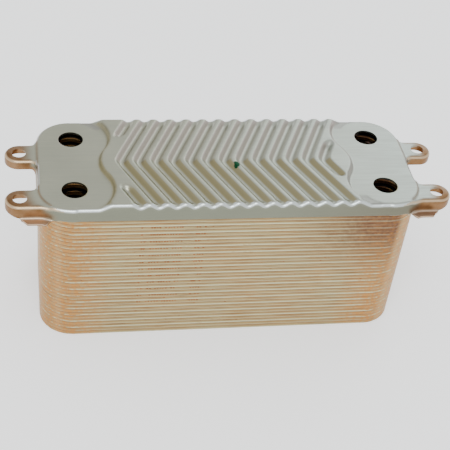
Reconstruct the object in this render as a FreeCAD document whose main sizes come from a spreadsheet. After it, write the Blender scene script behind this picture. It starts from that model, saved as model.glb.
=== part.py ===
import FreeCAD, Part
import math
import os
import Sketcher

# A brazed plate heat exchanger, in millimetres.
# X runs along the length, Y across the width and Z up, towards the ports.
# The origin is on the base plane, below the middle of the four ports.
# The pack is a nest of downward-opening cups: a thick front cover with the ports and lugs,
# thin channel plates that alternate by half a turn, and a thick back cover without holes.

DIMENSIONS = {
    # nest of plates
    "channel_plates": 33,
    "plate_pitch": 2.24,
    "sheet_thickness": 0.30,
    "braze_gap": 0.03,
    "cover_thickness": 1.0,
    "skirt_depth": 7.46,
    "cover_skirt_drop": 6.2,
    "web_length": 185.3,
    "web_width": 68.8,
    "web_corner": 15.9,
    # herringbone wave
    "wave_pitch": 8.55,
    "wave_count": 12,
    "wave_lean": 0.4675,
    "first_apex": -53.85,
    "wave_slope": 2.2,
    "channel_crest": 2.1,
    "cover_crest": 1.8,
    "plateau_rise": 2.3,
    "short_reach": 12.5,
    "stub_start": 20.0,
    "arm_reach": 42.0,
    # ports and the flat seats round them
    "port_spacing_long": 154.0,
    "port_spacing_short": 40.0,
    "port_bore": 12.3,
    "channel_port_bore": 13.0,
    "ring_seat": 24.0,
    "ring_slope_run": 1.4,
    "seat_radius": 18.0,
    "seat_slope_run": 1.6,
    "neck_centre": 43.4,
    # mounting lugs
    "lug_spacing_long": 205.2,
    "lug_spacing_short": 35.0,
    "lug_middle": -7.3,
    "lug_radius": 7.0,
    "lug_fillet": 4.0,
    "lug_bore": 6.8,
    "lug_step": 0.7,
    "lug_depth": 4.8,
    "tab_depth": 7.3,
    "tab_inner": 87.6,
    "lip_reach": 5.1,
    "lip_inner": 89.3,
    "lip_outer": 102.3,
    "lip_cut": 3.0,
    # copper braze
    "seam_height": 0.5,
    "cover_seam_height": 0.8,
    "cover_seam_cover": 0.8,
    "seam_toe": 0.05,
    "ring_bead": 0.15,
    "ring_height": 0.5,
}

FLARE = "asin((Dimensions.sheet_thickness + Dimensions.braze_gap) / Dimensions.plate_pitch)"
PRESS_DEPTH = "(Dimensions.plate_pitch - Dimensions.sheet_thickness)"
ARM_STRETCH = "sqrt(1 + Dimensions.wave_lean ^ 2)"
BACK_LEVEL = "Dimensions.skirt_depth"
TOP_CHANNEL_LEVEL = f"{BACK_LEVEL} + Dimensions.channel_plates * Dimensions.plate_pitch"
HALF_LONG = "Dimensions.port_spacing_long / 2"
HALF_SHORT = "Dimensions.port_spacing_short / 2"
CLEAR = 1.0  # how far a cutter stands proud of the face that it enters
V = FreeCAD.Vector

doc = FreeCAD.newDocument("plate_heat_exchanger")


def make_sheet():
    sheet = doc.addObject("Spreadsheet::Sheet", "Dimensions")
    for row, (alias, value) in enumerate(DIMENSIONS.items(), start=1):
        sheet.set(f"A{row}", alias)
        sheet.set(f"B{row}", str(value))
        sheet.setAlias(f"B{row}", alias)
    doc.recompute()
    return sheet


def size(alias):
    """A driving dimension as a number, for shapes that no expression reaches."""
    return float(getattr(sheet, alias))


def axis_or_plane(body, role):
    return next(item for item in body.Origin.OriginFeatures if item.Role == role)


def sketch_on(body, name, role, lift="0"):
    """A sketch on one of the body's own planes, lifted along the plane's normal."""
    sketch = body.newObject("Sketcher::SketchObject", name)
    sketch.AttachmentSupport = [(axis_or_plane(body, role), "")]
    sketch.MapMode = "FlatFace"
    sketch.setExpression("AttachmentOffset.Base.z", lift)
    return sketch


def hold(sketch, edge, point, across, up):
    """Keeps a point of an edge at its expressions, measured from the sketch's origin."""
    now = sketch.getPoint(edge, point)
    for kind, text, place in (("DistanceX", across, now.x), ("DistanceY", up, now.y)):
        if text is not None:
            held = sketch.addConstraint(Sketcher.Constraint(kind, edge, point, place))
            sketch.setExpression(f"Constraints[{held}]", text)


def draw_polygon(sketch, points):
    """A closed outline of straight lines, each corner held at its expressions."""
    count = len(points)
    for index in range(count):
        sketch.addGeometry(Part.LineSegment(V(index, 0, 0), V(index + 1, index + 1, 0)))
    for index in range(count):
        sketch.addConstraint(Sketcher.Constraint("Coincident", index, 2, (index + 1) % count, 1))
    for index, (across, up) in enumerate(points):
        hold(sketch, index, 1, across, up)


def draw_circle(sketch, across, up, diameter):
    circle = sketch.addGeometry(Part.Circle(V(1, 1, 0), V(0, 0, 1), 1))
    hold(sketch, circle, 3, across, up)
    held = sketch.addConstraint(Sketcher.Constraint("Diameter", circle, 2.0))
    sketch.setExpression(f"Constraints[{held}]", diameter)


def draw_rounded_rectangle(sketch, length, width, corner):
    """A rectangle centred on the origin, with a quarter circle at each corner."""
    rough_x, rough_y, rough_radius = 90.0, 34.0, 15.0
    outer = {"x": f"(({length}) / 2)", "y": f"(({width}) / 2)"}
    inner = {axis: f"({outer[axis]} - ({corner}))" for axis in outer}
    edges = []
    for index, (side_x, side_y) in enumerate(((1, -1), (1, 1), (-1, 1), (-1, -1))):
        centre = V(side_x * (rough_x - rough_radius), side_y * (rough_y - rough_radius), 0)
        first = (index - 1) * math.pi / 2
        circle = Part.Circle(centre, V(0, 0, 1), rough_radius)
        edge = sketch.addGeometry(Part.ArcOfCircle(circle, first, first + math.pi / 2))
        on_side = (f"{side_x} * {outer['x']}", f"{side_y} * {inner['y']}")
        on_end = (f"{side_x} * {inner['x']}", f"{side_y} * {outer['y']}")
        starts_low = side_x * side_y < 0
        hold(sketch, edge, 1, *(on_end if starts_low else on_side))
        hold(sketch, edge, 2, *(on_side if starts_low else on_end))
        hold(sketch, edge, 3, f"{side_x} * {inner['x']}", None)
        edges.append((edge, centre, side_x, side_y))
    for index, (edge, centre, _, _) in enumerate(edges):
        after, beyond, _, _ = edges[(index + 1) % 4]
        turn = index * math.pi / 2
        push = V(rough_radius * math.cos(turn), rough_radius * math.sin(turn), 0)
        line = sketch.addGeometry(Part.LineSegment(centre.add(push), beyond.add(push)))
        sketch.addConstraint(Sketcher.Constraint("Coincident", edge, 2, line, 1))
        sketch.addConstraint(Sketcher.Constraint("Coincident", line, 2, after, 1))


def add_envelope(body, inset, top, depth, taper):
    """The cup's outer form: a rounded rectangle that runs down from its top with a taper."""
    sketch = sketch_on(body, body.Name + "_outline", "XY_Plane", top)
    draw_rounded_rectangle(
        sketch,
        f"Dimensions.web_length - 2 * ({inset})",
        f"Dimensions.web_width - 2 * ({inset})",
        f"Dimensions.web_corner - ({inset})",
    )
    pad = body.newObject("PartDesign::Pad", body.Name + "_envelope")
    pad.Profile = sketch
    pad.Reversed = True
    pad.setExpression("Length", depth)
    pad.setExpression("TaperAngle", taper)
    body.Tip = pad


def add_pocket(body, name, sketch, depth, taper="0"):
    pocket = body.newObject("PartDesign::Pocket", name)
    pocket.Profile = sketch
    pocket.setExpression("Length", depth)
    pocket.setExpression("TaperAngle", taper)
    body.Tip = pocket
    return pocket


def add_arm(body, name, sketch, side, reach):
    """One arm of a groove, leaning along the length as it runs to the edge."""
    arm = body.newObject("PartDesign::Pocket", name)
    arm.Profile = sketch
    arm.UseCustomVector = True
    arm.AlongSketchNormal = False
    arm.setExpression("Direction.x", "Dimensions.wave_lean")
    arm.Direction = V(size("wave_lean"), side, 0)
    arm.setExpression("Length", f"({reach}) * {ARM_STRETCH}")
    body.Tip = arm
    return arm


def side_step(wall, depth, run):
    """How far a slope's far face stands aside, so that the sheet keeps its thickness."""
    return f"(({wall}) * tan(atan(({depth}) / ({run})) / 2))"


def groove_sketch(body, name, apex, start, side, wave):
    """The groove's cross-section, in an upright plane that lies across the width."""
    sketch = sketch_on(body, name, "XZ_Plane", f"-({side}) * ({start})")
    middle = f"({apex}) + Dimensions.wave_lean * ({start})"
    run = f"Dimensions.wave_slope / {ARM_STRETCH}"
    step = f"{side_step(wave['wall'], wave['depth'], run)} * {ARM_STRETCH}"
    mouth = f"((Dimensions.wave_pitch - Dimensions.{wave['crest']}) / 2 + {step})"
    floor = f"({mouth} - Dimensions.wave_slope)"
    top = f"-({wave['wall']})"
    above = f"{top} + {CLEAR}"
    below = f"{top} - ({wave['depth']})"
    corners = [
        (f"{middle} - {mouth}", above),
        (f"{middle} - {mouth}", top),
        (f"{middle} - {floor}", below),
        (f"{middle} + {floor}", below),
        (f"{middle} + {mouth}", top),
        (f"{middle} + {mouth}", above),
    ]
    draw_polygon(sketch, corners)
    return sketch


def add_waves(body, crest, depth, wall):
    """The herringbone: full grooves in a row, a short one and two stubs at the ends.

    wall is 0 on a sheet's outer form, and its thickness on the form that hollows it.
    """
    name = body.Name
    wave = {"crest": crest, "depth": depth, "wall": wall}
    sketch = groove_sketch(body, name + "_wave", "Dimensions.first_apex", "0", -1, wave)
    arms = [
        add_arm(body, name + "_front_arm", sketch, -1, "Dimensions.arm_reach"),
        add_arm(body, name + "_back_arm", sketch, 1, "Dimensions.arm_reach"),
    ]
    row = body.newObject("PartDesign::LinearPattern", name + "_wave_row")
    row.Originals = arms
    row.Direction = (axis_or_plane(body, "X_Axis"), [""])
    row.setExpression("Occurrences", "Dimensions.wave_count")
    row.setExpression("Length", "(Dimensions.wave_count - 1) * Dimensions.wave_pitch")
    body.Tip = row
    last = "Dimensions.first_apex + Dimensions.wave_count * Dimensions.wave_pitch"
    reach = f"Dimensions.short_reach + {wall}"
    sketch = groove_sketch(body, name + "_short_wave", last, "0", -1, wave)
    add_arm(body, name + "_short_front", sketch, -1, reach)
    add_arm(body, name + "_short_back", sketch, 1, reach)
    before = "Dimensions.first_apex - Dimensions.wave_pitch"
    start = f"(Dimensions.stub_start - {wall})"
    for side, end in ((-1, "front"), (1, "back")):
        sketch = groove_sketch(body, f"{name}_{end}_stub", before, start, side, wave)
        add_arm(body, f"{name}_{end}_stub_arm", sketch, side, f"Dimensions.arm_reach - {start}")


def add_ring_seats(body, wall):
    """The two round port seats that are pressed down, on the front side of the plate."""
    run = "Dimensions.ring_slope_run"
    sketch = sketch_on(body, body.Name + "_ring_seats", "XY_Plane", f"-({wall})")
    for side in (-1, 1):
        draw_circle(
            sketch,
            f"{side} * {HALF_LONG}",
            f"-{HALF_SHORT}",
            f"Dimensions.ring_seat + 2 * {side_step(wall, PRESS_DEPTH, run)}",
        )
    slope = f"-atan({run} / {PRESS_DEPTH})"
    add_pocket(body, body.Name + "_ring_seat_press", sketch, PRESS_DEPTH, slope)


def add_port_holes(body, diameter):
    sketch = sketch_on(body, body.Name + "_ports", "XY_Plane")
    for side_x in (-1, 1):
        for side_y in (-1, 1):
            draw_circle(
                sketch,
                f"{side_x} * {HALF_LONG}",
                f"{side_y} * {HALF_SHORT}",
                diameter,
            )
    add_pocket(body, body.Name + "_port_holes", sketch, "2 * Dimensions.skirt_depth")


def cup_body(name, inset, top, depth):
    body = doc.addObject("PartDesign::Body", name)
    add_envelope(body, inset, top, depth, FLARE)
    return body


def wall_inset(thickness):
    """How far a cup's inner form stands inside its outer one, at its own top."""
    return f"({thickness} / cos({FLARE}) - {thickness} * tan({FLARE}))"


def cut(name, base, tool):
    result = doc.addObject("Part::Cut", name)
    result.Base = base
    result.Tool = tool
    return result


def place_link(name, source, level, half_turn=False):
    """One more plate of the same pressing, at its own level in the nest."""
    link = doc.addObject("App::Link", name)
    link.LinkedObject = source
    link.Label = name
    if half_turn:
        link.Placement.Rotation = FreeCAD.Rotation(V(0, 0, 1), 180)
    link.setExpression("Placement.Base.z", level)
    return link


def make_cup(name, thickness, port_diameter=None):
    """A pressed plate with the wave and the two seats that are pressed down."""
    outer = cup_body(name + "_outer", "0", "0", "Dimensions.skirt_depth")
    inner_inset = wall_inset(thickness)
    inner = cup_body(name + "_inner", inner_inset, f"-{thickness}", "Dimensions.skirt_depth")
    for body, wall in ((outer, "0"), (inner, thickness)):
        add_waves(body, "channel_crest", PRESS_DEPTH, wall)
        add_ring_seats(body, wall)
    if port_diameter:
        add_port_holes(outer, port_diameter)
    return cut(name + "_pressing", outer, inner)


def circle_touch(centre, other, radius):
    """The point where a circle meets its tangent neighbour, on the line of centres."""
    step = other.sub(centre)
    return centre.add(step.multiply(radius / step.Length))


def draw_seat(sketch, wall):
    """The seat's rim: round both ports of one end, with a neck between them."""
    run = size("seat_slope_run")
    run += wall * math.tan(math.atan(size("plateau_rise") / run) / 2)
    port_x = size("port_spacing_long") / 2
    port_y = size("port_spacing_short") / 2
    radius = size("seat_radius") + run
    neck = V(size("neck_centre"), 0, 0)
    front, back = V(port_x, -port_y, 0), V(port_x, port_y, 0)
    neck_radius = front.distanceToPoint(neck) - radius
    far_x = port_x + 2 * radius
    far_y = port_y + radius
    low_touch = circle_touch(front, neck, radius)
    high_touch = circle_touch(back, neck, radius)
    low_side = front.add(V(-radius, 0, 0))
    high_side = back.add(V(-radius, 0, 0))
    outline = [
        Part.Arc(low_touch, neck.add(V(neck_radius, 0, 0)), high_touch),
        Part.Arc(high_touch, high_side, back.add(V(0, radius, 0))),
        Part.LineSegment(back.add(V(0, radius, 0)), V(far_x, far_y, 0)),
        Part.LineSegment(V(far_x, far_y, 0), V(far_x, -far_y, 0)),
        Part.LineSegment(V(far_x, -far_y, 0), front.add(V(0, -radius, 0))),
        Part.Arc(front.add(V(0, -radius, 0)), low_side, low_touch),
    ]
    add_closed(sketch, outline)


def add_closed(sketch, outline):
    """Adds edges that run head to tail round a closed outline, and ties their ends."""
    edges = [sketch.addGeometry(edge) for edge in outline]
    sketch.addConstraint([Sketcher.Constraint("Block", edge) for edge in edges])


def mirror_features(body, name, features):
    mirror = body.newObject("PartDesign::Mirrored", name)
    mirror.Originals = features
    mirror.MirrorPlane = (axis_or_plane(body, "YZ_Plane"), [""])
    body.Tip = mirror


def add_seats(body, wall):
    sketch = sketch_on(body, body.Name + "_seat", "XY_Plane", str(-wall))
    draw_seat(sketch, wall)
    slope = "-atan(Dimensions.seat_slope_run / Dimensions.plateau_rise)"
    pocket = add_pocket(
        body, body.Name + "_seat_press", sketch, "Dimensions.plateau_rise", slope
    )
    mirror_features(body, body.Name + "_seats", [pocket])


def draw_lug(sketch, middle_y, wall):
    """A lug's plan: a round tip, straight sides and, on the outside, hollow corners."""
    tip_x = size("lug_spacing_long") / 2
    radius = size("lug_radius") - wall
    fillet = size("lug_fillet")
    inside_x = size("web_length") / 2 - 2 * fillet
    foot_x = size("web_length") / 2 + size("cover_thickness")
    low, high = middle_y - radius, middle_y + radius
    tip = Part.Arc(V(tip_x, low, 0), V(tip_x + radius, middle_y, 0), V(tip_x, high, 0))
    if wall:
        corners = [V(tip_x, high, 0), V(inside_x, high, 0), V(inside_x, low, 0), V(tip_x, low, 0)]
        add_closed(sketch, [tip] + lines_through(corners))
        return
    bend = fillet * (1 - math.sqrt(0.5))
    top_start, top_end = V(foot_x + fillet, high, 0), V(foot_x, high + fillet, 0)
    low_start, low_end = V(foot_x, low - fillet, 0), V(foot_x + fillet, low, 0)
    add_closed(
        sketch,
        [
            tip,
            Part.LineSegment(V(tip_x, high, 0), top_start),
            Part.Arc(top_start, V(foot_x + bend, high + bend, 0), top_end),
            *lines_through(
                [top_end, V(inside_x, high + fillet, 0), V(inside_x, low - fillet, 0), low_start]
            ),
            Part.Arc(low_start, V(foot_x + bend, low - bend, 0), low_end),
            Part.LineSegment(low_end, V(tip_x, low, 0)),
        ],
    )


def lines_through(points):
    return [Part.LineSegment(start, end) for start, end in zip(points, points[1:])]


def lug_middles():
    half = size("lug_spacing_short") / 2
    return {"front": size("lug_middle") - half, "back": size("lug_middle") + half}


def add_lugs(body, wall, top, depth):
    """Both lugs of one end, and their mirror images."""
    pads = []
    for end, middle in lug_middles().items():
        sketch = sketch_on(body, f"{body.Name}_{end}_lug", "XY_Plane", top)
        draw_lug(sketch, middle, wall)
        pad = body.newObject("PartDesign::Pad", f"{body.Name}_{end}_lug_pad")
        pad.Profile = sketch
        pad.Reversed = True
        pad.setExpression("Length", depth)
        body.Tip = pad
        pads.append(pad)
    mirror_features(body, body.Name + "_lugs", pads)


def add_front_tab(body, lug_top):
    """The deeper front wall of the front lug, with a lip that stands out at its foot."""
    wall_y = f"(Dimensions.lug_radius + Dimensions.lug_spacing_short / 2 - Dimensions.lug_middle)"
    foot = f"({lug_top}) - Dimensions.tab_depth"
    sketch = sketch_on(body, "tab", "XZ_Plane", wall_y)
    draw_polygon(
        sketch,
        [
            ("Dimensions.tab_inner", lug_top),
            ("Dimensions.lip_outer", lug_top),
            ("Dimensions.lip_outer", foot),
            ("Dimensions.tab_inner", foot),
        ],
    )
    tab = body.newObject("PartDesign::Pad", "tab_pad")
    tab.Profile = sketch
    tab.Reversed = True
    tab.setExpression("Length", "Dimensions.cover_thickness")
    sketch = sketch_on(body, "lip", "XY_Plane", foot)
    draw_polygon(
        sketch,
        [
            ("Dimensions.lip_inner", f"Dimensions.cover_thickness - {wall_y}"),
            ("Dimensions.lip_outer", f"Dimensions.cover_thickness - {wall_y}"),
            ("Dimensions.lip_outer", f"-{wall_y}"),
            ("Dimensions.lip_outer - Dimensions.lip_cut", f"-{wall_y} - Dimensions.lip_reach"),
            ("Dimensions.lip_inner", f"-{wall_y} - Dimensions.lip_reach"),
        ],
    )
    lip = body.newObject("PartDesign::Pad", "lip_pad")
    lip.Profile = sketch
    lip.setExpression("Length", "Dimensions.cover_thickness")
    body.Tip = lip
    mirror_features(body, "tabs", [tab, lip])


def add_cover_holes(body):
    add_port_holes(body, "Dimensions.port_bore")
    sketch = sketch_on(body, "lug_holes", "XY_Plane")
    for side_x in (-1, 1):
        for side_y in (-1, 1):
            draw_circle(
                sketch,
                f"{side_x} * Dimensions.lug_spacing_long / 2",
                f"Dimensions.lug_middle + {side_y} * Dimensions.lug_spacing_short / 2",
                "Dimensions.lug_bore",
            )
    add_pocket(body, "lug_hole_cut", sketch, "2 * Dimensions.skirt_depth")


def make_front_pressing():
    """The thick cover: seats round the ports, the wave on a raised field, and four lugs."""
    thickness = "Dimensions.cover_thickness"
    rise = "Dimensions.plateau_rise"
    depth = f"({rise} + Dimensions.cover_skirt_drop)"
    gap = f"Dimensions.braze_gap / cos({FLARE})"
    lug_top = f"-({rise} + Dimensions.lug_step)"
    outer_inset = f"({thickness} + {rise}) * tan({FLARE}) - {thickness} / cos({FLARE}) - {gap}"
    outer = cup_body("front_outer", outer_inset, "0", depth)
    add_waves(outer, "cover_crest", rise, "0")
    add_seats(outer, 0)
    add_lugs(outer, 0, lug_top, "Dimensions.lug_depth")
    add_front_tab(outer, lug_top)
    add_cover_holes(outer)
    inner = cup_body("front_inner", f"{rise} * tan({FLARE}) - {gap}", f"-{thickness}", depth)
    add_waves(inner, "cover_crest", rise, thickness)
    add_seats(inner, size("cover_thickness"))
    add_lugs(inner, size("cover_thickness"), f"{lug_top} - {thickness}", depth)
    return cut("front_pressing", outer, inner)


def make_seam(name, below, step, height):
    """A copper fillet that fills the step under a skirt's edge, out to the skirt below.

    below is how far the inner skirt has flared at this level, and step is the fillet's width.
    """
    outer = doc.addObject("PartDesign::Body", name + "_outer")
    inner = doc.addObject("PartDesign::Body", name + "_inner")
    toe = f"({step} - {height} * tan({FLARE}) - Dimensions.seam_toe)"
    add_envelope(outer, f"-{below} - {step}", "0", height, f"-atan({toe} / {height})")
    add_envelope(inner, f"-{below}", "0", height, FLARE)
    return cut(name, outer, inner)


def make_edge_seams():
    """One fillet under the cover's skirt and one under each channel plate's skirt."""
    below = f"(Dimensions.skirt_depth - Dimensions.plate_pitch) * tan({FLARE})"
    step = f"(Dimensions.plate_pitch * tan({FLARE}))"
    seam = make_seam("edge_seam", below, step, "Dimensions.seam_height")
    seams = []
    for number in range(int(size("channel_plates"))):
        level = f"{number + 1} * Dimensions.plate_pitch"
        seams.append(place_link(f"edge_seam_{number + 1:02d}", seam, level))
    compound = doc.addObject("Part::Compound", "edge_braze_seams")
    compound.Links = seams
    return compound


def make_cover_seam():
    """The wider fillet under the thick cover's edge, down to the first channel plate."""
    drop = "(Dimensions.cover_skirt_drop - Dimensions.cover_thickness)"
    below = f"{drop} * tan({FLARE})"
    edge = f"((Dimensions.cover_thickness + Dimensions.braze_gap) / cos({FLARE}))"
    step = f"({edge} * Dimensions.cover_seam_cover)"
    seam = make_seam("cover_seam", below, step, "Dimensions.cover_seam_height")
    return place_link("cover_braze_seam", seam, f"{TOP_CHANNEL_LEVEL} - {drop}")


def make_port_ring():
    """A copper bead on the lips of two plates that meet round a port."""
    outer = doc.addObject("Part::Cylinder", "bead_outer")
    outer.setExpression("Radius", "Dimensions.channel_port_bore / 2")
    outer.setExpression("Height", "Dimensions.ring_height")
    inner = doc.addObject("Part::Cylinder", "bead_inner")
    inner.setExpression("Radius", "Dimensions.channel_port_bore / 2 - Dimensions.ring_bead")
    inner.setExpression("Height", "Dimensions.ring_height")
    return cut("port_bead", outer, inner)


def make_port_rings():
    """For each port, a bead at every second joint between plates."""
    bead = make_port_ring()
    groups = []
    plates = int(size("channel_plates"))
    for side_x, end in ((-1, "left"), (1, "right")):
        for side_y, face, first in ((-1, "front", 2), (1, "back", 1)):
            name = f"port_beads_{face}_{end}"
            links = []
            for joint in range(first, plates, 2):
                joint_level = f"{TOP_CHANNEL_LEVEL} - {joint} * Dimensions.plate_pitch"
                level = f"{joint_level} - Dimensions.ring_height / 2"
                link = place_link(f"{name}_{joint:02d}", bead, level)
                link.setExpression("Placement.Base.x", f"{side_x} * {HALF_LONG}")
                link.setExpression("Placement.Base.y", f"{side_y} * {HALF_SHORT}")
                links.append(link)
            group = doc.addObject("Part::Compound", name)
            group.Links = links
            groups.append(group)
    return groups


def make_channel_plates(pressing):
    """The nest of thin plates, numbered from the front cover, turned by turns."""
    plates = []
    for number in range(1, int(size("channel_plates")) + 1):
        level = f"{TOP_CHANNEL_LEVEL} - {number - 1} * Dimensions.plate_pitch"
        turned = number % 2 == 1
        plates.append(place_link(f"channel_plate_{number:02d}", pressing, level, turned))
    return plates


def check_document():
    """Stops at any object whose state shows that it failed."""
    for item in doc.Objects:
        bad = [word for word in item.State if word in ("Invalid", "Error")]
        if bad:
            raise RuntimeError(f"{item.Name} is {bad}")


def write_parts(parts):
    shapes = {}
    for part in parts:
        shape = Part.getShape(part)
        if shape.isNull() or not shape.isValid() or not shape.Solids:
            raise RuntimeError(f"{part.Label} has no sound shape")
        shapes[part.Label] = shape
    os.makedirs("parts", exist_ok=True)
    for label, shape in shapes.items():
        shape.exportStep(f"parts/{label}.step")
        print(f"{label}: {len(shape.Solids)} solids, {shape.Volume:.0f} mm3")


sheet = make_sheet()
# The thin plate has two port seats up and two down, so half a turn swaps the circuits.
channel_pressing = make_cup(
    "channel", "Dimensions.sheet_thickness", "Dimensions.channel_port_bore"
)
# The thick plate that closes the nest has the same wave and no holes.
back_pressing = make_cup("back", "Dimensions.cover_thickness")
front_pressing = make_front_pressing()
plateau_level = f"{TOP_CHANNEL_LEVEL} + Dimensions.cover_thickness + Dimensions.plateau_rise"
nodes = [
    place_link("front_cover_plate", front_pressing, plateau_level),
    *make_channel_plates(channel_pressing),
    place_link("back_cover_plate", back_pressing, BACK_LEVEL),
    make_edge_seams(),
    make_cover_seam(),
    *make_port_rings(),
]
doc.recompute()
check_document()
write_parts(nodes)
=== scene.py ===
import math
import random

import bmesh
import bpy
import numpy as np
from mathutils import Matrix, Vector, noise


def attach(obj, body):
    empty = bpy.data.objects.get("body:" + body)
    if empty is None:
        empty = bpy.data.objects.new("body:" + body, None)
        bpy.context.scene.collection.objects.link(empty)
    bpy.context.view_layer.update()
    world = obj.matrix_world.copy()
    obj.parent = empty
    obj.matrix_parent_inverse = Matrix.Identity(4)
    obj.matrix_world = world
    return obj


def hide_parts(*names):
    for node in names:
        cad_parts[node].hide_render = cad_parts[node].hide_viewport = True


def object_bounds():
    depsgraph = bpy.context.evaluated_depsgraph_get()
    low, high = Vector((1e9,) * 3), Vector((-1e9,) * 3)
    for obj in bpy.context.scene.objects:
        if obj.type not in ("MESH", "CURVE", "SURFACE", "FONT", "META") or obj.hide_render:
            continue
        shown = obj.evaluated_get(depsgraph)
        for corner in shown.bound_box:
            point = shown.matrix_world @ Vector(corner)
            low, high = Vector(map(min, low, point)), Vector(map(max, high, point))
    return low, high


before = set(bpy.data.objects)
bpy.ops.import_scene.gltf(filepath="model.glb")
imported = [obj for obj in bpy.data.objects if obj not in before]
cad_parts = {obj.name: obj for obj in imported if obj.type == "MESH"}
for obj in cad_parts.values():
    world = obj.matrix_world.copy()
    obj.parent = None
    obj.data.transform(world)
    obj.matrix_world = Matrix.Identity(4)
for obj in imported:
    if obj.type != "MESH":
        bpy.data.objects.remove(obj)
cad_low, cad_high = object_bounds()

# The brazed plate heat exchanger, seen from the front left and above.
# Lengths in the functions below are in millimetres, and MM turns them into metres.
# Heights of the cover's skin are measured from the port seats, whose level is SEAT_LEVEL.

MM = 0.001
TOP = cad_high[2] / MM  # the raised field of the cover
RISE = 2.3  # from the port seats up to the raised field
SEAT_LEVEL = TOP - RISE
CHANNEL_PLATES = 33
PLATE_PITCH = 2.24

# herringbone of the cover
WAVE_PITCH = 8.55
WAVE_COUNT = 12
WAVE_LEAN = 0.4675
FIRST_APEX = -53.85
APEX_ROUND = 1.8
GROOVE_MOUTH = 3.05
GROOVE_FLOOR = 0.9
CORNER_SHARE = 0.25  # of a slope, the reach of its rounded corners
SHORT_REACH = 11.5
STUB_START = 22.5
SOFT_REACH = 4.5  # from the rim inwards, where the grooves open out
RIM_DEPTH = 0.72  # of the rise, how deep they still are at the rim

# port seats
PORT_X = 77.0
PORT_Y = 20.0
PORT_RADIUS = 6.15
SEAT_RADIUS = 18.0
SEAT_SLOPE = 1.7
SEAT_OPENING = 3.6
NECK_CENTRE = 43.4
STAMP_START = 14.0  # from a port's middle outwards
STAMP_EDGE = 27.0  # from the cover's middle line outwards
STAMP_DEPTH = 0.14

# plan of the cover
WEB_HALF_LENGTH = 93.8
WEB_HALF_WIDTH = 34.95
WEB_CORNER = 16.45
FLARE = math.asin(0.33 / PLATE_PITCH)
SHEET = 1.0
RIM_RADIUS = 1.7
SKIRT_DROP = 6.2
EDGE_STRAIGHT = 0.35  # the wall's last straight bit, or the lip's first

# mounting lugs
LUG_X = 102.6
LUG_MIDDLES = (-24.8, 10.2)
LUG_RADIUS = 6.97
LUG_HOLE_RADIUS = 3.4
LUG_FILLET = 4.0
LUG_ROOT = 79.3  # where a lug's straight sides begin, inside the body
LUG_STEP = 0.7
LUG_WALL_DROP = 5.5
TAB_DROP = 7.0
TAB_START = 83.0
LIP_REACH = 3.95
LIP_INNER = 89.3
LIP_OUTER = 102.3
LIP_CUT = 3.0
LIP_BEND = 1.1

# fineness of the cover's mesh
STEP_ACROSS = 0.45
STEP_ALONG = 1.0
BEND_STEPS = 6
QUARTERS = (0.25, 0.5, 0.75, 1.0)
SHARP_TURN = math.radians(50.0)

# channel plates and the small beads of braze on their skirts
PACK_HALF_WIDTH = 34.4
CHANNEL_SKIRT = 7.46
BEAD_RUNS = ((-45.6, -43.2), (-41.0, -25.6), (-19.0, -14.2))
BEAD_PITCH = 1.35
BEAD_DROP = 0.75
BEAD_STAND = 0.16
LOOSE_BEADS = 260
LOOSE_REACH = 76.0

# the maker's dab of green paint
PAINT_X = 3.7
PAINT_Y = -4.4

# the studio, in metres, and the floor's own light
FLOOR_HALF = 6.0
FLOOR_GLOW = 0.7

# the eye, in metres, and the way it looks
EYE = (-0.1023, -0.4260, 0.4131)
LOOK_DOWN = math.radians(40.31)
HEADING = math.radians(13.88)
ROLL = math.radians(7.84)
SENSOR = 36.0
LENS = 87.7


# ---------------------------------------------------------------- plan and heights of the cover

def smooth(value):
    """0 below 0, 1 above 1, and an S curve between."""
    t = np.clip(value, 0.0, 1.0)
    return t * t * (3.0 - 2.0 * t)


def ramp(value, bend):
    """0 below 0, 1 above 1 and straight between, with corners rounded over bend either way."""
    def area(end):
        inner = np.clip(end, 0.0, 1.0)
        return inner * inner / 2.0 + np.maximum(end - 1.0, 0.0)

    return (area(value + bend) - area(value - bend)) / (2.0 * bend)


def box_distance(x, y, half_length, half_width, corner):
    """Distance to a rounded rectangle, negative inside it."""
    over_x = np.abs(x) - half_length + corner
    over_y = np.abs(y) - half_width + corner
    outside = np.hypot(np.maximum(over_x, 0.0), np.maximum(over_y, 0.0))
    return outside + np.minimum(np.maximum(over_x, over_y), 0.0) - corner


def body_distance(x, y):
    return box_distance(x, y, WEB_HALF_LENGTH, WEB_HALF_WIDTH, WEB_CORNER)


def lug_distance(x, y):
    """Distance to the nearest lug, whose sides run straight back into the body."""
    beyond = np.maximum(np.abs(x) - LUG_X, 0.0)
    sides = [np.hypot(beyond, y - middle) for middle in LUG_MIDDLES]
    return np.minimum(*sides) - LUG_RADIUS


def plan_distance(x, y):
    """Distance to the whole outline, with a round fillet where a lug meets the body."""
    body, lug = body_distance(x, y), lug_distance(x, y)
    lug = np.maximum(lug, LUG_ROOT - np.abs(x))
    near_body = np.maximum(LUG_FILLET - body, 0.0)
    near_lug = np.maximum(LUG_FILLET - lug, 0.0)
    return np.maximum(LUG_FILLET, np.minimum(body, lug)) - np.hypot(near_body, near_lug)


def hole_distance(x, y):
    """Distance to the nearest hole's edge, negative inside the hole."""
    ports = np.hypot(np.abs(x) - PORT_X, np.abs(y) - PORT_Y) - PORT_RADIUS
    lugs = [np.hypot(np.abs(x) - LUG_X, y - middle) - LUG_HOLE_RADIUS for middle in LUG_MIDDLES]
    return np.minimum(ports, np.minimum(*lugs))


def lean(y):
    """How far a groove has run along the length at this place across the width."""
    return WAVE_LEAN * np.hypot(y, APEX_ROUND)


def groove_depth(across):
    """Depth of a groove at this distance from its middle line, as a share of the rise."""
    slope = GROOVE_MOUTH - GROOVE_FLOOR
    return 1.0 - ramp((across - GROOVE_FLOOR) / slope, CORNER_SHARE)


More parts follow.
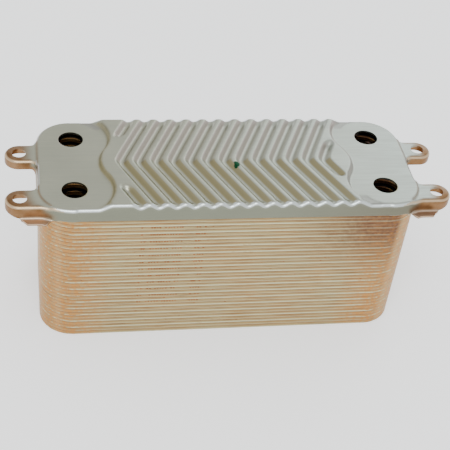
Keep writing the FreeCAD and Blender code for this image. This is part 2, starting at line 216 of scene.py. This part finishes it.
def soft_depth(across, y):
    """Depth of a groove where it runs out over the rim: a wide hollow in front, a notch behind."""
    half_turn = np.minimum(across * 2.0 / WAVE_PITCH, 1.0) * math.pi
    return RIM_DEPTH * (0.5 + 0.5 * np.cos(half_turn)) ** np.where(y > 0, 1.6, 0.9)


def rim_share(x, y):
    """0 on the field and 1 at the rim's bend."""
    return smooth((body_distance(x, y) + SOFT_REACH) / (SOFT_REACH - RIM_RADIUS))


def wave_height(x, y):
    """The raised field with its grooves, a short one and two stubs at the ends."""
    phase = (x - lean(y) - FIRST_APEX) / WAVE_PITCH
    number = np.round(phase)
    across = np.abs(phase - number) * WAVE_PITCH
    reach = np.where(number > WAVE_COUNT - 1, np.abs(y) - SHORT_REACH, 0.0)
    reach = np.where(number < 0, STUB_START - np.abs(y), reach)
    across = np.hypot(across, np.maximum(reach, 0.0))
    there = (number >= -1) & (number <= WAVE_COUNT)
    at_rim = rim_share(x, y)
    depth = groove_depth(across) * (1.0 - at_rim) + soft_depth(across, y) * at_rim
    return RISE * (1.0 - np.where(there, depth, 0.0))


def seat_distance(x, y):
    """Distance outwards from the seats' rims, which go round both ports of an end."""
    x, y = np.abs(x), np.abs(y)
    round_port = np.hypot(x - PORT_X, y - PORT_Y) - SEAT_RADIUS
    neck_gap = math.hypot(PORT_X - NECK_CENTRE, PORT_Y) - SEAT_RADIUS
    in_neck = neck_gap - np.hypot(x - NECK_CENTRE, y)
    turn = math.atan2(PORT_Y, PORT_X - NECK_CENTRE)
    by_neck = (np.arctan2(y, x - NECK_CENTRE) < turn) & (x > NECK_CENTRE)
    distance = np.where(by_neck, in_neck, round_port)
    past_ports = (x > PORT_X) & (y > PORT_Y)
    distance = np.where(past_ports, -1.0, distance)
    return np.where(x > PORT_X, np.minimum(distance, -1.0), distance)


def stamp_depth(x, y):
    """Shallow worn marks at three corners of the seats, where they met the brazing jig."""
    from_port = np.hypot(np.abs(x) - PORT_X, np.abs(y) - PORT_Y) - STAMP_START
    corner = smooth(from_port / 0.6) * smooth((PORT_X - 1.0 - np.abs(x)) / 2.0)
    edge = smooth((np.abs(y) - STAMP_EDGE) / 2.0)
    inside = smooth(-seat_distance(x, y) / 0.6)
    there = np.where((x < 0) & (y < 0), 0.0, 1.0)
    return STAMP_DEPTH * corner * edge * inside * there


def skin_height(x, y):
    """Height of the cover's upper skin above the port seats, before the rim bends down."""
    field = wave_height(x, y)
    opening = SEAT_OPENING * rim_share(x, y)
    wall = smooth((seat_distance(x, y) + 0.4 * opening) / (SEAT_SLOPE + opening))
    seat = RISE * wall - stamp_depth(x, y)
    step = LUG_STEP * smooth((body_distance(x, y) + 0.3) / 1.1)
    return np.minimum(field, seat) - step


# ---------------------------------------------------------------- the cover's mesh

def material_distance(x, y):
    """Positive on the flat part of the sheet: inside the rim's bend and clear of the holes."""
    return np.minimum(-plan_distance(x, y) - RIM_RADIUS, hole_distance(x, y))


def slope_of(field, x, y, reach=0.02):
    """Unit vector up the slope of a distance field."""
    across = field(x + reach, y) - field(x - reach, y)
    along = field(x, y + reach) - field(x, y - reach)
    size = np.maximum(np.hypot(across, along), 1e-9)
    return across / size, along / size


def move_to_edge(x, y, times=3):
    """Moves points down the slope of the material's distance onto its edge."""
    for _ in range(times):
        gap = material_distance(x, y)
        slope_x, slope_y = slope_of(material_distance, x, y)
        x, y = x - gap * slope_x, y - gap * slope_y
    return x, y


def grid_points():
    """A grid whose lines across the width lean with the grooves."""
    reach_x, reach_y = LUG_X + LUG_RADIUS + 6.0, WEB_HALF_WIDTH + 2.0
    rows = np.arange(-reach_y, reach_y + STEP_ALONG, STEP_ALONG)
    longest = float(lean(np.array(reach_y)))
    columns = np.arange(-reach_x - longest, reach_x, STEP_ACROSS)
    across, along = np.meshgrid(columns, rows)
    return across + lean(along), along


def clip_grid():
    """The grid's cells inside the material, cut along its edge: points and faces."""
    x, y = grid_points()
    gap = material_distance(x, y)
    near = np.abs(gap) < 0.3 * STEP_ACROSS
    x[near], y[near] = move_to_edge(x[near], y[near])
    gap[near] = 0.0
    rows, columns = x.shape
    points, faces, known = [], [], {}

    def add(key, place):
        if key not in known:
            known[key] = len(points)
            points.append(place)
        return known[key]

    for row in range(rows - 1):
        positive = (gap[row:row + 2] > 0).any(axis=0)
        inside = positive[:-1] | positive[1:]
        for column in np.nonzero(inside)[0]:
            corners = [(row, column), (row, column + 1), (row + 1, column + 1), (row + 1, column)]
            face = []
            for here, after in zip(corners, corners[1:] + corners[:1]):
                if gap[here] >= 0:
                    face.append(add(here, (x[here], y[here])))
                if gap[here] * gap[after] < 0:
                    share = gap[here] / (gap[here] - gap[after])
                    place = [side[here] + share * (side[after] - side[here]) for side in (x, y)]
                    face.append(add(tuple(sorted((here, after))), place))
            if len(face) >= 3:
                faces.append(face)
    places = np.array(points)
    cut = [index for key, index in known.items() if isinstance(key[0], tuple)]
    places[cut, 0], places[cut, 1] = move_to_edge(places[cut, 0], places[cut, 1])
    return places, faces


def edge_loops(faces):
    """The open edges of a mesh as closed loops of point numbers."""
    count = {}
    for face in faces:
        for start, end in zip(face, face[1:] + face[:1]):
            count[(start, end)] = 1
    following = {start: end for start, end in count if (end, start) not in count}
    loops = []
    while following:
        start = next(iter(following))
        loop = [start]
        here = following.pop(start)
        while here != start:
            loop.append(here)
            here = following.pop(here)
        loops.append(loop)
    return loops


def lip_share(x, y):
    """How much of the front tab's shape a point of the rim has: 0 none, 1 all."""
    along = np.abs(x)
    inner = smooth((along - LIP_INNER + 3.0) / 3.4)
    outer = 1.0 - smooth((along - LIP_OUTER + 0.4) / 1.6)
    return inner * outer * (y < LUG_MIDDLES[0])


def lug_share(x, y):
    """0 on the body and 1 on the lugs, where the wall no longer flares."""
    return smooth((body_distance(x, y) + RIM_RADIUS + 0.2) / 4.0)


def wall_drop(x, y, tab):
    """How far below the seats the wall ends: on the body, on the lugs and by the front tabs."""
    drop = SKIRT_DROP + (LUG_WALL_DROP - SKIRT_DROP) * lug_share(x, y)
    beside = smooth((np.abs(x) - TAB_START) / 5.0) * (y < LUG_MIDDLES[0] - 2.0)
    past_tip = smooth((np.abs(x) - LIP_OUTER + 1.0) / 7.0) * (y < LUG_MIDDLES[0] + 1.0)
    drop = drop + (TAB_DROP + 0.4 - drop) * beside * (1.0 - past_tip)
    return drop + (TAB_DROP - drop) * tab


def bend_places(height, flare):
    """Down the round bend from the cover's top into its wall."""
    reach = RIM_RADIUS + (RISE - height) * flare
    places = []
    for step in range(1, BEND_STEPS + 1):
        angle = step / BEND_STEPS * (math.pi / 2 - np.arctan(flare))
        outward = reach * np.sin(angle) - RIM_RADIUS
        places.append((outward, height - RIM_RADIUS * (1.0 - np.cos(angle))))
    return places


def wall_places(start, end_level, flare):
    """Down the flared wall."""
    start_out, start_up = start
    levels = [start_up + (end_level - start_up) * share for share in QUARTERS]
    return [(start_out + (start_up - level) * flare, level) for level in levels]


def turn_places(start, tab, flare):
    """Round the bend into the lip, or straight on down where there is none."""
    start_out, start_up = start
    places = []
    for share in QUARTERS:
        angle = share * tab * math.pi / 2
        straight = share * LIP_BEND
        curved = LIP_BEND * np.sin(angle) + EDGE_STRAIGHT * tab * share
        outward = start_out + LIP_BEND * (1.0 - np.cos(angle)) + straight * flare
        places.append((outward, start_up - (1.0 - tab) * straight - tab * curved))
    return places


def edge_places(start, x, tab, flare):
    """Out along the lip, whose outer end is cut at a slant, or down to the wall's edge."""
    start_out, start_up = start
    lip = np.clip((LIP_OUTER - np.abs(x)) / LIP_CUT, 0.0, 1.0) * LIP_REACH
    length = EDGE_STRAIGHT + np.maximum(lip - LIP_BEND, 0.0) * tab
    outward = length * np.sin(tab * math.pi / 2) + EDGE_STRAIGHT * flare
    downward = EDGE_STRAIGHT * (1.0 - tab)
    return [(start_out + share * outward, start_up - share * downward) for share in (0.3, 0.65, 1.0)]


def rim_profile(x, y, height):
    """The places down the rim, wall and lip, each as its distances outwards and upwards."""
    tab = lip_share(x, y)
    flare = math.tan(FLARE) * (1.0 - lug_share(x, y))
    end_level = EDGE_STRAIGHT + LIP_BEND - wall_drop(x, y, tab)
    places = bend_places(height, flare)
    places += wall_places(places[-1], end_level, flare)
    places += turn_places(places[-1], tab, flare)
    places += edge_places(places[-1], x, tab, flare)
    return places


def add_rim(points, faces, loop):
    """Rows of points that carry the outer edge down the rim and the skirt."""
    base = points[loop]
    x, y = base[:, 0], base[:, 1]
    normal_x, normal_y = slope_of(plan_distance, x, y, 0.3)
    row = list(loop)
    for outward, level in rim_profile(x, y, skin_height(x, y)):
        shift = outward + RIM_RADIUS
        places = np.stack([x + normal_x * shift, y + normal_y * shift, level], 1)
        start = len(points)
        points = np.vstack([points, places])
        new_row = list(range(start, start + len(loop)))
        for index in range(len(loop)):
            after = (index + 1) % len(loop)
            faces.append([row[after], row[index], new_row[index], new_row[after]])
        row = new_row
    return points


def cover_skin():
    """The cover's outer skin as points and faces, in millimetres above the seats."""
    plan, faces = clip_grid()
    heights = skin_height(plan[:, 0], plan[:, 1])
    points = np.column_stack([plan, heights])
    loops = edge_loops(faces)
    outer = max(loops, key=len)
    points = add_rim(points, faces, outer)
    return points, faces


def new_mesh(name, points, faces):
    mesh = bpy.data.meshes.new(name)
    mesh.from_pydata([tuple(point) for point in points], [], faces)
    mesh.validate()
    piece = bpy.data.objects.new(name, mesh)
    bpy.context.scene.collection.objects.link(piece)
    for polygon in mesh.polygons:
        polygon.use_smooth = True
    return piece


def apply_modifiers(piece):
    bpy.context.view_layer.objects.active = piece
    for modifier in list(piece.modifiers):
        with bpy.context.temp_override(object=piece, active_object=piece):
            bpy.ops.object.modifier_apply(modifier=modifier.name)


def make_cover():
    points, faces = cover_skin()
    points[:, 2] += SEAT_LEVEL
    piece = new_mesh("front_cover_skin", points * MM, faces)
    thick = piece.modifiers.new("sheet", "SOLIDIFY")
    thick.thickness = SHEET * MM
    thick.offset = -1.0
    thick.use_even_offset = False
    apply_modifiers(piece)
    piece.data.set_sharp_from_angle(angle=SHARP_TURN)
    add_tints(piece)
    return piece


def copper_share(x, y, z):
    """How coppered the cover is: its lugs, their edges, the wall's low ends and the steps' seams."""
    past_body = body_distance(x, y)
    lug_start = np.where(x < 0, 1.5, 5.0)
    lug = smooth((past_body - lug_start) / 7.0)
    lug_edge = smooth((lug_distance(x, y) + 2.6) / 1.6) * smooth((past_body - 1.5) / 3.0)
    low_end = smooth((SEAT_LEVEL - 2.2 - z) / 2.5) * smooth((np.abs(x) - 84.0) / 9.0)
    seam = np.exp(-((past_body - 0.1) / 0.45) ** 2) * (np.abs(x) > 88.0) * (z > SEAT_LEVEL - 1.2)
    return np.maximum.reduce([lug, lug_edge, low_end, 0.75 * seam])


def bend_highlight_share(x, y, z, upward):
    """1 on the round bend between the cover's top and its wall, where a highlight is painted."""
    turned = smooth((upward - 0.28) / 0.22) * smooth((0.94 - upward) / 0.12)
    return turned * (plan_distance(x, y) > -RIM_RADIUS - 0.15) * (z > SEAT_LEVEL - 2.9)


def slope_reflections(x, y, toward_x, on_top):
    """Painted reflections on the slopes of the grooves and of the seats: olive on slopes facing left and
    on the left seats' walls, rose on slopes facing right and on the right seats' walls.
    """
    seat_wall = np.exp(-((seat_distance(x, y) - 0.9) / 0.8) ** 2) * on_top
    seat_wall = seat_wall * smooth((-body_distance(x, y) - 1.5) / 1.5)
    facing_left = smooth((-toward_x - 0.15) / 0.45) * on_top
    facing_right = smooth((toward_x - 0.15) / 0.45) * on_top
    olive_reflection = np.maximum(facing_left * smooth((1.5 - y) / 2.0), seat_wall * (x < 0))
    rose_reflection = np.maximum(facing_right * smooth((y + 0.5) / 2.0), 0.7 * seat_wall * (x > 0))
    return olive_reflection, rose_reflection


def add_tints(piece):
    """Point values from 0 to 1 that tell the cover's material where each finish, painted highlight,
    painted shade and painted reflection lies.
    """
    mesh = piece.data
    count = len(mesh.vertices)
    places, normals = np.zeros(count * 3), np.zeros(count * 3)
    mesh.vertices.foreach_get("co", places)
    mesh.vertices.foreach_get("normal", normals)
    x, y, z = (places.reshape(-1, 3) / MM).T
    toward_x, toward_y, upward = normals.reshape(-1, 3).T
    past_body = body_distance(x, y)
    on_top = (z > SEAT_LEVEL - 0.2) * (np.abs(x) < 88.0)
    on_seat = (z > SEAT_LEVEL - 0.6) * (past_body < -0.5)
    bend = bend_highlight_share(x, y, z, upward)
    olive_reflection, rose_reflection = slope_reflections(x, y, toward_x, on_top)
    values = {
        # where a bluish-white highlight is painted along the rim's bend
        "bend": bend * (past_body < 0.8),
        # where a golden highlight is painted along the lugs' bends that face the front
        "lug_bend_highlight": bend * (past_body >= 0.8) * smooth((0.2 - toward_y) / 0.3),
        # painted shade: the near-upright wall is darkened
        "skirt": smooth((0.45 - np.abs(upward)) / 0.3),
        # painted highlight: the upward face of the low lip is lightened
        "lip": smooth((SEAT_LEVEL - 6.0 - z) / 0.8) * smooth((upward - 0.4) / 0.4),
        "copper": copper_share(x, y, z),
        "olive_reflection": olive_reflection,
        "rose_reflection": rose_reflection,
        "stamped": smooth(stamp_depth(x, y) / STAMP_DEPTH) * on_seat,
    }
    for name, value in values.items():
        attribute = mesh.attributes.new(name, "FLOAT", "POINT")
        attribute.data.foreach_set("value", np.clip(value, 0, 1).astype(np.float32))


# ---------------------------------------------------------------- braze beads on the pack's sides

def pack_side(level):
    """How far the pack's long faces stand from its middle at this height."""
    edge = math.floor(level / PLATE_PITCH) * PLATE_PITCH
    return PACK_HALF_WIDTH + (edge + CHANNEL_SKIRT - level) * math.tan(FLARE)


def bead_places(chance):
    """Where small beads of braze lie: three runs in the front's seams, and loose ones."""
    places = []
    for gap in range(9, CHANNEL_PLATES, 2):
        level = (gap + 1) * PLATE_PITCH - BEAD_DROP
        for start, end in BEAD_RUNS:
            for spot in np.arange(start, end, BEAD_PITCH):
                size = chance.uniform(0.34, 0.52)
                if chance.random() < 0.85:
                    places.append((spot + chance.uniform(-0.15, 0.15), -1, level, size, 0.5))
    for _ in range(LOOSE_BEADS):
        side = chance.choice((-1, 1))
        spot = LOOSE_REACH * chance.uniform(-1.0, 1.0)
        gap = chance.randrange(1, CHANNEL_PLATES)
        level = (gap + 1) * PLATE_PITCH - chance.uniform(0.35, 0.7)
        places.append((spot, side, level, chance.uniform(0.15, 0.6), chance.uniform(0.14, 0.28)))
    return places


def make_beads():
    """Small lumps of copper that stand a little proud of the skirts."""
    chance = random.Random(7)
    mesh = bmesh.new()
    for spot, side, level, half_length, half_height in bead_places(chance):
        middle = Vector((spot, side * pack_side(level), level))
        shape = Matrix.Diagonal((half_length, BEAD_STAND, half_height, 1.0))
        lump = bmesh.ops.create_icosphere(
            mesh, subdivisions=2, radius=1.0, matrix=Matrix.Translation(middle) @ shape
        )
        for vertex in lump["verts"]:
            push = vertex.co - middle
            vertex.co = middle + push * (1.0 + 0.16 * noise.noise(vertex.co * 2.3))
    bmesh.ops.scale(mesh, vec=(MM, MM, MM), verts=mesh.verts)
    data = bpy.data.meshes.new("braze_beads")
    mesh.to_mesh(data)
    mesh.free()
    beads = bpy.data.objects.new("braze_beads", data)
    bpy.context.scene.collection.objects.link(beads)
    for polygon in data.polygons:
        polygon.use_smooth = True
    return beads


# ---------------------------------------------------------------- materials

class Paint:
    """Builds one material's node tree, with short calls for the nodes that are used often."""

    def __init__(self, name):
        self.material = bpy.data.materials.new(name)
        self.material.use_nodes = True
        self.tree = self.material.node_tree
        self.shader = self.tree.nodes["Principled BSDF"]

    def node(self, kind, **settings):
        node = self.tree.nodes.new(kind)
        for key, value in settings.items():
            setattr(node, key, value)
        return node

    def feed(self, socket, value):
        if isinstance(value, bpy.types.NodeSocket):
            self.tree.links.new(value, socket)
        elif isinstance(value, tuple) and len(value) == 3 and socket.type == "RGBA":
            socket.default_value = (*value, 1.0)
        else:
            socket.default_value = value

    def place(self):
        """Where a point is in the object's own frame, in metres."""
        return self.node("ShaderNodeTexCoord").outputs["Object"]

    def axes(self):
        """The place's three parts, in millimetres."""
        split = self.node("ShaderNodeSeparateXYZ")
        self.feed(split.inputs["Vector"], self.place())
        return [self.math("DIVIDE", split.outputs[axis], MM) for axis in "XYZ"]

    def stretched(self, across, along, up):
        mapping = self.node("ShaderNodeMapping")
        self.feed(mapping.inputs["Vector"], self.place())
        mapping.inputs["Scale"].default_value = (across, along, up)
        return mapping.outputs["Vector"]

    def noise(self, vector, scale, detail=3.0, roughness=0.55):
        node = self.node("ShaderNodeTexNoise")
        self.feed(node.inputs["Vector"], vector)
        node.inputs["Scale"].default_value = scale
        node.inputs["Detail"].default_value = detail
        node.inputs["Roughness"].default_value = roughness
        return node.outputs["Fac"]

    def remap(self, value, low, high, start=0.0, end=1.0):
        node = self.node("ShaderNodeMapRange")
        self.feed(node.inputs["Value"], value)
        for key, number in (("From Min", low), ("From Max", high), ("To Min", start), ("To Max", end)):
            node.inputs[key].default_value = number
        return node.outputs["Result"]

    def math(self, operation, first, second=0.0):
        node = self.node("ShaderNodeMath", operation=operation)
        self.feed(node.inputs[0], first)
        self.feed(node.inputs[1], second)
        return node.outputs["Value"]

    def times(self, *values):
        product = values[0]
        for value in values[1:]:
            product = self.math("MULTIPLY", product, value)
        return product

    def off_centre(self, across, along, centre_x, centre_y):
        """Distance in plan from a point."""
        off_x = self.math("SUBTRACT", across, centre_x)
        off_y = self.math("SUBTRACT", along, centre_y)
        return self.math("SQRT", self.math("ADD", self.times(off_x, off_x), self.times(off_y, off_y)))

    def mix(self, share, first, second):
        node = self.node("ShaderNodeMix", data_type="RGBA")
        self.feed(node.inputs["Factor"], share)
        self.feed(node.inputs[6], first)
        self.feed(node.inputs[7], second)
        return node.outputs[2]

    def attribute(self, name):
        return self.node("ShaderNodeAttribute", attribute_name=name).outputs["Fac"]

    def bump(self, height, strength, distance):
        node = self.node("ShaderNodeBump")
        node.inputs["Strength"].default_value = strength
        node.inputs["Distance"].default_value = distance
        self.feed(node.inputs["Height"], height)
        self.feed(self.shader.inputs["Normal"], node.outputs["Normal"])

    def finish(self, colour, roughness, metallic):
        self.feed(self.shader.inputs["Base Color"], colour)
        self.feed(self.shader.inputs["Roughness"], roughness)
        self.shader.inputs["Metallic"].default_value = metallic
        return self.material


def linear(red, green, blue):
    """A colour as seen on a screen, 0 to 255, in the linear values that shaders use."""
    shares = (value / 255.0 for value in (red, green, blue))
    return tuple(s / 12.92 if s <= 0.04045 else ((s + 0.055) / 1.055) ** 2.4 for s in shares)


def steel_with_painted_reflection(paint, across, cloud, grain):
    """Satin stainless steel, with a painted reflection that leaves it yellower at the left end and
    lighter and bluer at the right.
    """
    shade = paint.remap(cloud, 0.3, 0.7)
    left = paint.mix(shade, linear(167, 168, 150), linear(175, 175, 156))
    right = paint.mix(shade, linear(176, 183, 175), linear(184, 190, 181))
    steel = paint.mix(paint.remap(across, -30.0, 95.0), left, right)
    return paint.mix(paint.remap(grain, 0.35, 0.75, 0.0, 0.3), steel, linear(152, 155, 146))


def paint_dab(paint, colour, across, along):
    """The colour with the maker's ragged dab of green paint on it."""
    flatness = 0.62
    dot = paint.off_centre(across, paint.times(along, flatness), PAINT_X, flatness * PAINT_Y)
    ragged = paint.remap(paint.noise(paint.place(), 700.0), 0.3, 0.7, -0.5, 0.5)
    inside = paint.remap(paint.math("ADD", dot, ragged), 1.75, 1.35)
    return paint.mix(inside, colour, linear(16, 70, 42))


def cover_steel():
    """Satin pressed stainless sheet with painted reflections on the slopes, painted highlights on the
    bends and the lip, painted shade on the wall, and coppered lugs.
    """
    paint = Paint("cover_steel")
    place = paint.place()
    across, along, _ = paint.axes()
    cloud = paint.noise(place, 45.0, 3.0)
    grain = paint.noise(paint.stretched(60.0, 1400.0, 1400.0), 1.0, 2.0)
    speck = paint.noise(place, 2600.0, 2.0)
    blotch = paint.noise(place, 130.0, 4.0, 0.6)
    olive_reflection, rose_reflection, worn = linear(150, 140, 103), linear(190, 178, 170), linear(150, 148, 142)
    skirt_shade_left, skirt_shade_right = linear(117, 119, 104), linear(104, 100, 84)
    bend_highlight_white, lug_highlight_gold, lip_top_highlight = linear(226, 233, 232), linear(228, 200, 164), linear(216, 190, 166)

    colour = steel_with_painted_reflection(paint, across, cloud, grain)
    # olive and rose reflections, painted on the slopes by the way they face
    on_slope = paint.times(paint.attribute("olive_reflection"), paint.remap(cloud, 0.2, 0.8, 0.8, 1.0))
    colour = paint.mix(on_slope, colour, olive_reflection)
    colour = paint.mix(paint.times(paint.attribute("rose_reflection"), 0.8), colour, rose_reflection)
    colour = paint.mix(paint.times(paint.attribute("stamped"), 0.7), colour, worn)
    # painted shade on the cover's upright wall, picked out by the way it faces
    skirt = paint.mix(paint.remap(across, 20.0, 90.0), skirt_shade_left, skirt_shade_right)
    colour = paint.mix(paint.times(paint.attribute("skirt"), 0.95), colour, skirt)
    # a bluish-white highlight painted along the rim's bend
    colour = paint.mix(paint.attribute("bend"), colour, bend_highlight_white)
    copper = paint.mix(paint.remap(blotch, 0.35, 0.7), linear(146, 108, 74), linear(114, 84, 54))
    coppered = paint.times(paint.attribute("copper"), paint.remap(blotch, 0.25, 0.6, 0.75, 1.0))
    colour = paint.mix(coppered, colour, copper)
    # a golden highlight painted along the lugs' front bends
    colour = paint.mix(paint.times(paint.attribute("lug_bend_highlight"), 0.8), colour, lug_highlight_gold)
    # a pale pink highlight painted on the lip's upward face
    colour = paint.mix(paint.times(paint.attribute("lip"), 0.85), colour, lip_top_highlight)
    colour = paint_dab(paint, colour, across, along)
    rough = paint.remap(paint.math("ADD", cloud, grain), 0.6, 1.4, 0.32, 0.44)
    paint.bump(paint.math("ADD", grain, paint.times(speck, 0.6)), 0.12, 0.0001)
    return paint.finish(colour, rough, 1.0)


def sheet_tan(paint, across, up, streak, mottle):
    """The skirts' furnace tint: tan, golden at the ends and reddish brown at the top right."""
    cloud = paint.noise(paint.place(), 38.0, 4.0)
    from_middle = paint.math("ABSOLUTE", across)
    ends = paint.remap(from_middle, 57.0, 84.0)
    warmth = paint.math("ADD", paint.remap(cloud, 0.3, 0.75, -0.1, 0.5), ends)
    tan = paint.mix(warmth, linear(160, 142, 100), linear(172, 128, 76))
    tan = paint.mix(paint.remap(streak, 0.45, 0.7, 0.0, 0.55), tan, linear(128, 86, 50))
    golden = paint.mix(paint.remap(mottle, 0.42, 0.58), linear(184, 128, 66), linear(162, 134, 90))
    tan = paint.mix(paint.times(ends, 0.8), tan, golden)
    corner = paint.times(paint.remap(across, 26.0, 66.0), paint.remap(up, 34.0, 64.0), 0.9)
    corner = paint.times(corner, paint.remap(across, 86.0, 82.0), paint.remap(mottle, 0.3, 0.6, 0.6, 1.0))
    tan = paint.mix(corner, tan, linear(96, 62, 46))
    strip = paint.math("ABSOLUTE", paint.math("SUBTRACT", from_middle, 85.2))
    tan = paint.mix(paint.remap(strip, 3.0, 0.4, 0.0, 0.22), tan, linear(206, 176, 128))
    return tan, ends, corner


def duct_painted_shade(paint, across, along):
    """How far inside a port duct a place is, and the painted shade with painted glints that it has there.
    """
    from_x, from_y = paint.math("ABSOLUTE", across), paint.math("ABSOLUTE", along)
    inside = paint.remap(paint.off_centre(from_x, from_y, PORT_X, PORT_Y), 9.0, 8.0)
    glint = paint.remap(paint.noise(paint.stretched(60.0, 60.0, 300.0), 1.0), 0.56, 0.62)
    return inside, paint.mix(glint, linear(18, 13, 12), linear(216, 178, 160))


def channel_steel(name, edge_highlight_strength):
    """Thin furnace-tinted sheet: a highlight painted as a pale line at the skirt's lower edge, coppered
    above and at the ends.
    """
    paint = Paint(name)
    place = paint.place()
    across, along, up = paint.axes()
    streak = paint.noise(paint.stretched(70.0, 900.0, 900.0), 1.0, 3.0)
    stain = paint.noise(paint.stretched(26.0, 26.0, 640.0), 1.0, 2.0)
    mottle = paint.noise(place, 520.0, 3.0, 0.65)
    grit = paint.noise(place, 1500.0, 2.0)
    tan, ends, corner = sheet_tan(paint, across, up, streak, mottle)

    # a pale line painted at each skirt's lower edge as a highlight, stronger on every second plate
    band = paint.math("FRACT", paint.math("DIVIDE", up, PLATE_PITCH))
    line = paint.times(paint.remap(band, 0.34 + 0.1 * edge_highlight_strength, 0.22), paint.remap(band, 0.0, 0.06))
    faded = paint.math("ADD", paint.remap(mottle, 0.3, 0.6, -0.1, 0.1), paint.times(ends, -0.35))
    kept = paint.remap(paint.math("ADD", streak, faded), 0.15, 0.4)
    off_corner = paint.remap(corner, 0.0, 0.9, 1.0, 0.25)
    share = paint.times(line, kept, 0.4 + 0.6 * edge_highlight_strength, off_corner)
    colour = paint.mix(share, tan, linear(194, 192, 156))
    colour = paint.mix(paint.remap(stain, 0.66, 0.74, 0.0, 0.55), colour, linear(92, 70, 46))
    inside, dark = duct_painted_shade(paint, across, along)
    # painted shade inside the port ducts, with painted glints
    colour = paint.mix(inside, colour, dark)
    rough = paint.remap(paint.math("ADD", streak, grit), 0.7, 1.3, 0.32, 0.5)
    paint.bump(paint.math("ADD", grit, streak), 0.25, 0.0001)
    return paint.finish(colour, rough, 0.85)


def braze_copper(name, light, dark):
    """Melted copper with a rippled skin and darker flux stains."""
    paint = Paint(name)
    place = paint.place()
    blotch = paint.noise(place, 160.0, 4.0, 0.6)
    ripple = paint.noise(paint.stretched(250.0, 700.0, 700.0), 1.0, 2.0)
    colour = paint.mix(paint.remap(blotch, 0.35, 0.65), linear(*light), linear(*dark))
    rough = paint.remap(ripple, 0.3, 0.7, 0.28, 0.5)
    paint.bump(ripple, 0.4, 0.0002)
    return paint.finish(colour, rough, 0.9)


def clad(node, material):
    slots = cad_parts[node].data.materials
    slots.clear()
    slots.append(material)


def clad_nodes():
    """Finishes for the CAD nodes that stay as they are."""
    # two copies of one sheet that differ only in how strong the painted edge highlight is
    plates = [channel_steel("channel_steel_weak_highlight", 0.0), channel_steel("channel_steel_strong_highlight", 1.0)]
    for number in range(1, CHANNEL_PLATES + 1):
        clad(f"channel_plate_{number:02d}", plates[(number + 1) % 2])
    clad("back_cover_plate", channel_steel("back_cover_steel", 0.4))
    seams = braze_copper("seam_copper", (150, 102, 66), (108, 72, 46))
    for node in ("edge_braze_seams", "cover_braze_seam"):
        clad(node, seams)
    # the port beads get near-black copper: painted shade for the inside of the ducts
    shaded_ring = braze_copper("ring_copper_painted_shade", (88, 76, 72), (24, 20, 19))
    for side in ("front_left", "back_left", "front_right", "back_right"):
        clad(f"port_beads_{side}", shaded_ring)


# ---------------------------------------------------------------- floor, light and camera

def floor_white():
    """Matt white that glows a little, as a floor in a bright studio does."""
    paint = Paint("floor_white")
    shade = paint.noise(paint.place(), 3.0, 2.0)
    white, shaded = (0.95, 0.95, 0.95), (0.936, 0.936, 0.936)
    paint.shader.inputs["Emission Color"].default_value = (1.0, 1.0, 1.0, 1.0)
    paint.shader.inputs["Emission Strength"].default_value = FLOOR_GLOW
    return paint.finish(paint.mix(paint.remap(shade, 0.3, 0.7), white, shaded), 0.9, 0.0)


def make_floor():
    turns = ((-1, -1), (1, -1), (1, 1), (-1, 1))
    corners = [(side_x * FLOOR_HALF, side_y * FLOOR_HALF, 0) for side_x, side_y in turns]
    floor = new_mesh("floor", corners, [(0, 1, 2, 3)])
    floor.data.materials.append(floor_white())


def add_softbox(name, place, aim, width, height, power, colour):
    light = bpy.data.lights.new(name, "AREA")
    light.shape = "RECTANGLE"
    light.size = width
    light.size_y = height
    light.energy = power
    light.color = colour
    lamp = bpy.data.objects.new(name, light)
    lamp.location = place
    lamp.rotation_euler = (Vector(aim) - Vector(place)).to_track_quat("-Z", "Y").to_euler()
    bpy.context.scene.collection.objects.link(lamp)


def make_light():
    world = bpy.data.worlds.new("studio")
    world.use_nodes = True
    background = world.node_tree.nodes["Background"]
    background.inputs["Color"].default_value = (0.98, 0.99, 1.0, 1.0)
    background.inputs["Strength"].default_value = 1.0
    bpy.context.scene.world = world
    aim = (0.0, 0.0, 0.05)
    add_softbox(
        "key", place=(-0.25, -0.9, 1.3), aim=aim,
        width=1.0, height=0.7, power=12.0, colour=(0.93, 0.98, 1.0),
    )
    add_softbox(
        "back_right", place=(0.75, 1.2, 0.9), aim=aim,
        width=0.9, height=0.8, power=3.8, colour=(0.88, 0.97, 1.0),
    )


def make_camera():
    """The eye stands in front, to the left and above, with the horizon tilted a little."""
    data = bpy.data.cameras.new("camera")
    data.sensor_width = SENSOR
    data.lens = LENS
    camera = bpy.data.objects.new("camera", data)
    flat = math.cos(LOOK_DOWN)
    forward = Vector((flat * math.sin(HEADING), flat * math.cos(HEADING), -math.sin(LOOK_DOWN)))
    turn = forward.to_track_quat("-Z", "Y").to_matrix()
    turn = Matrix.Rotation(-ROLL, 3, forward) @ turn
    camera.matrix_world = Matrix.Translation(EYE) @ turn.to_4x4()
    bpy.context.scene.collection.objects.link(camera)
    bpy.context.scene.camera = camera


make_camera()
make_floor()
make_light()
clad_nodes()
cover = make_cover()
cover.data.materials.append(cover_steel())
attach(cover, "root")
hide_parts("front_cover_plate")
beads = make_beads()
beads.data.materials.append(braze_copper("bead_copper", (164, 104, 62), (132, 82, 48)))
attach(beads, "root")
